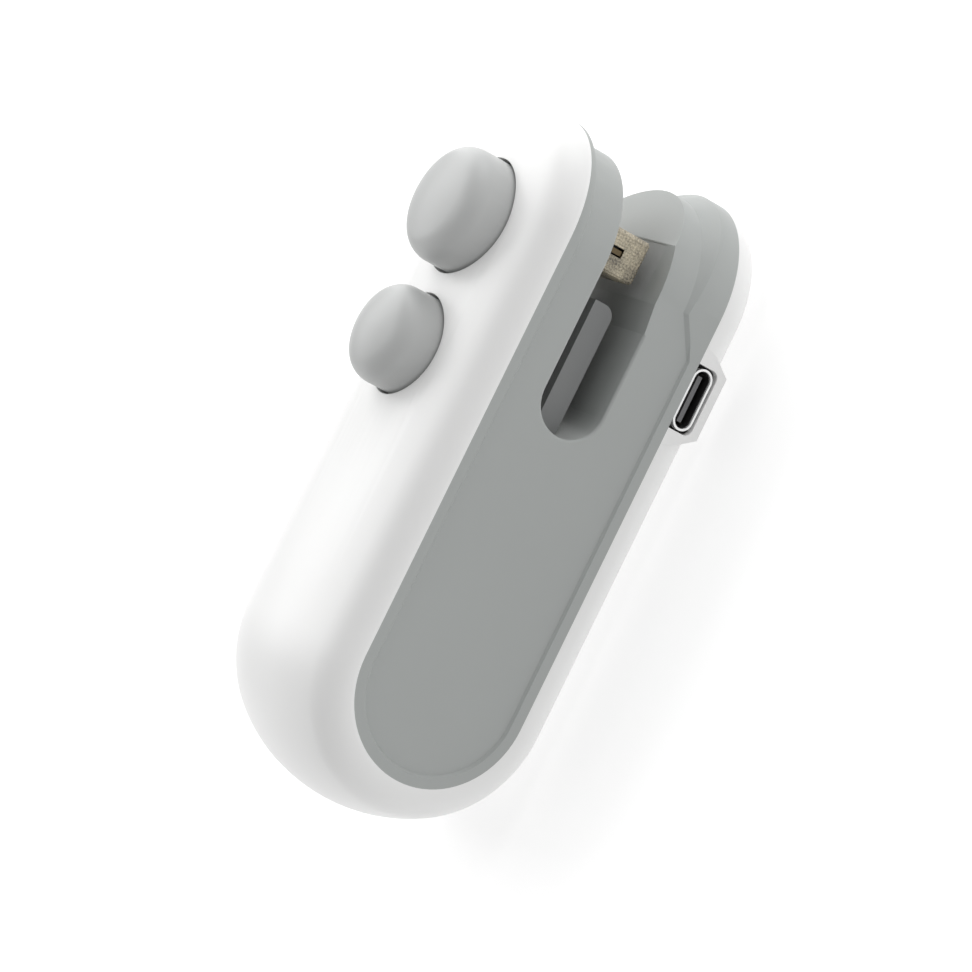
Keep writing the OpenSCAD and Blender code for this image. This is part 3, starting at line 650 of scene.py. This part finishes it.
def add_cloth():
    """Woven cloth folded round the heater, from one cross-shaped sheet."""
    low, high = [Vector(corner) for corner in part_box("heater_cloth")]
    low += Vector((1, 1, 1)) * YARN_HEIGHT
    high -= Vector((1, 1, 0)) * YARN_HEIGHT
    cloth = new_piece("heater_weave", *cloth_mesh(low, high), "heater_cloth")
    skin = cloth.modifiers.new("thickness", "SOLIDIFY")
    skin.thickness = CLOTH_SKIN
    skin.offset = -1
    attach(cloth, "sealer")
    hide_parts("heater_cloth")


# ---------------------------------------------------------------- socket and board

# Wall of the socket's shell, with a little room for the sleeve
SHELL_T = 0.31 * MM
SHADE_SLEEVE_T = 0.1 * MM
SHADE_SLEEVE_FRONT = 0.35 * MM
SHADE_SLEEVE_BACK = 0.52 * MM
END_STEPS = 16


def stadium(centre_x, centre_z, reach, radius):
    """Bar outline with round ends, in X and Z."""
    outline = []
    for side in (1, -1):
        for i in range(END_STEPS + 1):
            turn = -math.pi / 2 + math.pi * i / END_STEPS
            outline.append((
                centre_x + side * (reach + radius * math.cos(turn)), centre_z + side * radius * math.sin(turn)
            ))
    return outline


def add_socket_shade_sleeve():
    """Black sleeve inside the socket's metal shell: painted shade, which darkens the socket's inside."""
    low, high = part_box("usb_shell")
    centre_x, centre_z = (low.x + high.x) / 2, (low.z + high.z) / 2
    outer_r = (high.z - low.z) / 2 - SHELL_T
    inner_r = outer_r - SHADE_SLEEVE_T
    reach = (high.x - low.x - (high.z - low.z)) / 2
    front, back = low.y + SHADE_SLEEVE_FRONT, high.y - SHADE_SLEEVE_BACK
    rings = []
    for y, radius in ((front, outer_r), (front, inner_r), (back, inner_r), (back, outer_r)):
        rings.append([(x, y, z) for x, z in stadium(centre_x, centre_z, reach, radius)])
    points = [p for ring in rings for p in ring]
    count = len(rings[0])
    faces = []
    for a in range(len(rings)):
        b = (a + 1) % len(rings)
        for k in range(count):
            n = (k + 1) % count
            faces.append((a * count + k, b * count + k, b * count + n, a * count + n))
    # Painted shade: a black sleeve that darkens the inside of the socket
    shade_sleeve = new_piece("socket_shade_sleeve", points, faces, "chip_black", smooth=False)
    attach(shade_sleeve, "housing")


# Chip capacitors on the board: X and Y in millimetres, turn in degrees
PASSIVES = (
    (-6, 4, 0), (-6, 1.5, 0), (-4.5, -3, 90), (4, 1.5, 0), (10.5, -1.5, 90), (10.5, -9, 0),
    (17.5, -3, 0), (17.5, -6, 0), (26, -4, 90), (28.5, -4, 90), (26, 3, 0), (31, 6, 90), (33.5, 2, 0),
)
# Gap for the film of solder under the blocks
SOLDER_T = 0.02 * MM
BODY_SIZES = (1.0 * MM, 0.78 * MM, 0.66 * MM)
END_SIZES = (0.3 * MM, 0.82 * MM, 0.7 * MM)
# From the middle of a block to the middle of its ends
END_OUT = 0.66 * MM


def add_passives():
    """Small chip capacitors on the board, each a ceramic block between two soldered ends."""
    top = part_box("main_board")[1].z + SOLDER_T
    bodies, ends = ([], []), ([], [])
    for x, y, turn in PASSIVES:
        axis = X if turn == 0 else Y
        centre = Vector((x * MM, y * MM, top + END_SIZES[2] / 2))
        add_block(*bodies, centre, axis, BODY_SIZES)
        for side in (-1, 1):
            add_block(*ends, centre + axis * side * END_OUT, axis, END_SIZES)
    for name, shape, finish in (
        ("chip_capacitors", bodies, "capacitor_tan"), ("solder_ends", ends, "tab_nickel"),
    ):
        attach(new_piece(name, *shape, finish, smooth=False), "housing")


def add_block(points, faces, centre, axis, sizes):
    """Appends a block of the given sizes along axis, across it and up."""
    across = Z.cross(axis)
    start = len(points)
    for a in (-0.5, 0.5):
        for b in (-0.5, 0.5):
            for c in (-0.5, 0.5):
                points.append(centre + axis * a * sizes[0] + across * b * sizes[1] + Z * c * sizes[2])
    for face in ((0, 1, 3, 2), (4, 6, 7, 5), (0, 4, 5, 1), (2, 3, 7, 6), (0, 2, 6, 4), (1, 5, 7, 3)):
        faces.append(tuple(start + k for k in face))


# ---------------------------------------------------------------- the assembly

add_studio()
PAINTS = all_paints()

for part in frame["record"]["subparts"]:
    dress(part["node"], PAINTS[part["material_slot"]])
# The buttons get the lighter grey, which holds painted light
for node in ("seal_button", "cutter_button"):
    dress(node, PAINTS["button_grey"])
dress("usb_tongue", PAINTS["tongue_grey"])

for edge in EDGES:
    soften(*edge)

add_springs("seal_springs")
add_springs("cutter_springs")
add_pigtails()
add_cloth()
add_socket_shade_sleeve()
add_passives()
